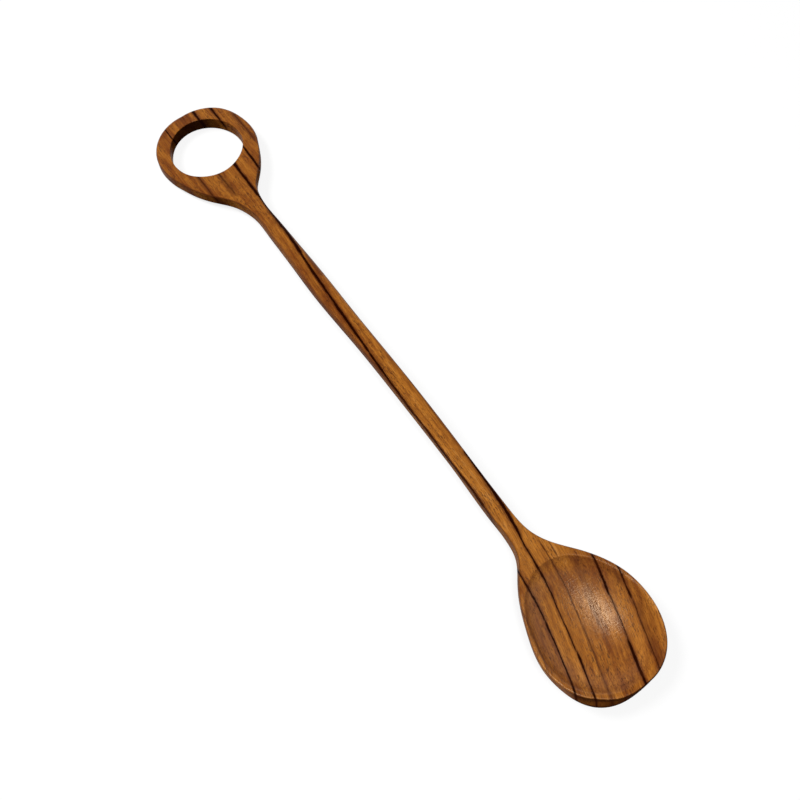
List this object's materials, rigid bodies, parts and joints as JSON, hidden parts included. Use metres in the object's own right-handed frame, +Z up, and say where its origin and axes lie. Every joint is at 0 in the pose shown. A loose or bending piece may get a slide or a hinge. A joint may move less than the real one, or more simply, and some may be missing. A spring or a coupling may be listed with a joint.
{
  "type": "wooden spoon",
  "caption": "Long slim teak spoon with an egg-shaped bowl, a thin arched handle and a round hanging ring, carved from one board.",
  "frame": {"origin": "centre of the bounding box at the table the spoon rests on", "axes": "+X along the spoon from the hanging ring to the bowl's tip, +Y across it, +Z up out of the bowl's open side"},
  "size_m": [0.305, 0.0472, 0.0136],
  "materials": {
    "teak": "sanded smooth and oiled, satin"
  },
  "bodies": {
    "root": {"spoon": "teak"}
  },
  "joints": []
}
